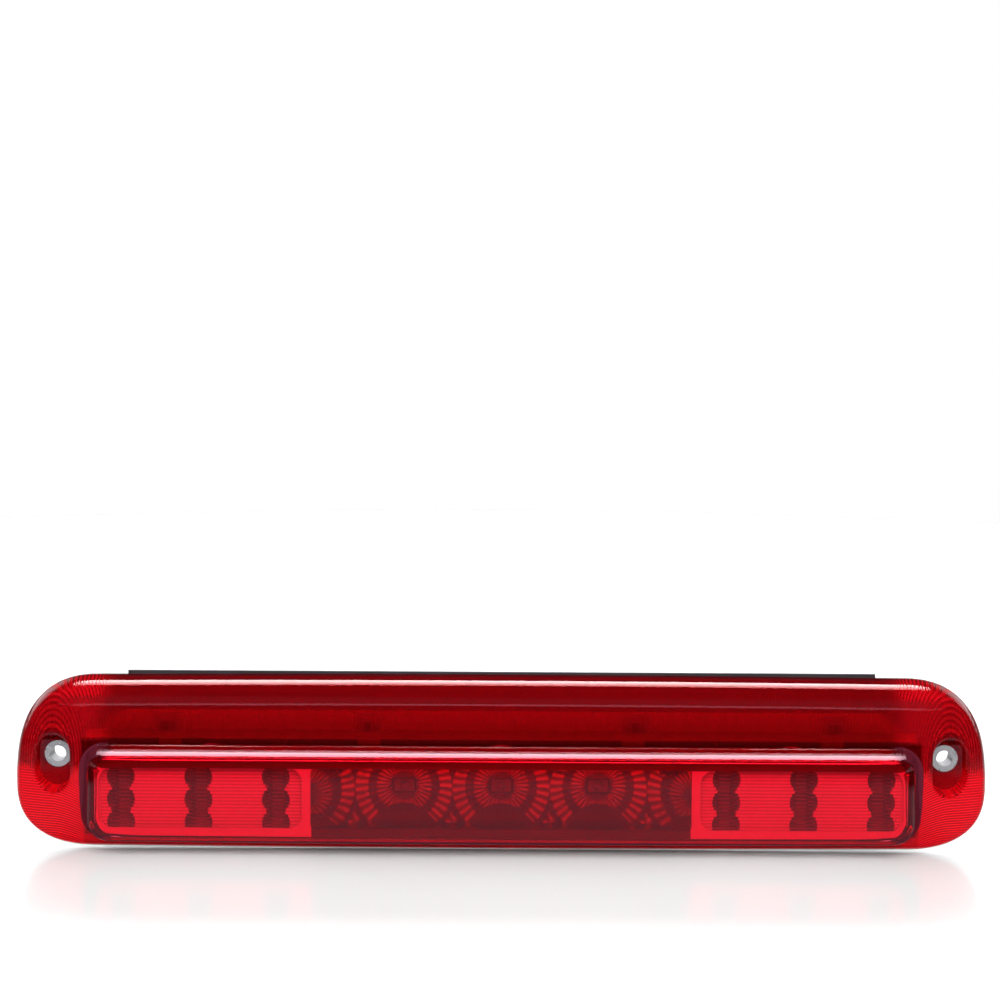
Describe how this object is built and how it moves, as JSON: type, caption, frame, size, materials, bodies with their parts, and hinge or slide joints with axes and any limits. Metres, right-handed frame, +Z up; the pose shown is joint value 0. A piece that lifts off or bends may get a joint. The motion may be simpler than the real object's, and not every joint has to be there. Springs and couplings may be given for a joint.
{
  "type": "third brake light",
  "caption": "Long high-mount brake and cargo lamp with a red raised-window lens, faceted brake reflector, fluted cargo lenses and a rear tub with round connector ports.",
  "frame": {"origin": "midway between the two screw holes, on the mounting plane that the screw sleeves' rear ends stand on", "axes": "+X along the lamp, to the right of someone facing its lens; the lens faces -Y; +Z up"},
  "size_m": [0.44, 0.0549, 0.0814],
  "materials": {
    "red_lens": "polished red acrylic, clear through",
    "black_housing": "fine moulded grain",
    "sealant": "satin hot-melt bead",
    "foam": "closed-cell foam",
    "zinc_steel": "zinc plated",
    "metallised": "vacuum-metallised plastic",
    "clear_lens": "clear fluted acrylic",
    "black_board": "black solder mask",
    "led_body": "pale resin package",
    "chip_black": "moulded component",
    "terminal_plastic": "natural nylon",
    "contact_brass": "bright",
    "lead_insulation": "flexible wire insulation",
    "screw_steel": "bright",
    "vent_black": "fine grain",
    "membrane": "porous film"
  },
  "bodies": {
    "root": {"outer_lens": "red_lens", "left_lens_end": "red_lens", "right_lens_end": "red_lens", "housing_flange": "black_housing", "housing_tub": "black_housing", "lens_sealant_bead": "sealant", "mounting_gasket": "foam", "left_screw_sleeve": "zinc_steel", "right_screw_sleeve": "zinc_steel", "inner_bezel": "metallised", "brake_reflector": "metallised", "left_cargo_reflector": "metallised", "right_cargo_reflector": "metallised", "left_fluted_lens": "clear_lens", "right_fluted_lens": "clear_lens", "brake_led_board": "black_board", "left_cargo_led_board": "black_board", "right_cargo_led_board": "black_board", "brake_leds": "led_body", "left_cargo_leds": "led_body", "right_cargo_leds": "led_body", "brake_resistors": "chip_black", "left_cargo_resistors": "chip_black", "right_cargo_resistors": "chip_black", "brake_diode": "chip_black", "left_wedge_terminal": "terminal_plastic", "brake_wedge_terminal": "terminal_plastic", "right_wedge_terminal": "terminal_plastic", "left_terminal_contacts": "contact_brass", "brake_terminal_contacts": "contact_brass", "right_terminal_contacts": "contact_brass", "left_leads": "lead_insulation", "brake_leads": "lead_insulation", "right_leads": "lead_insulation", "board_screws": "screw_steel", "bezel_screws": "screw_steel", "vent_cap": "vent_black", "vent_membrane": "membrane"}
  },
  "joints": []
}
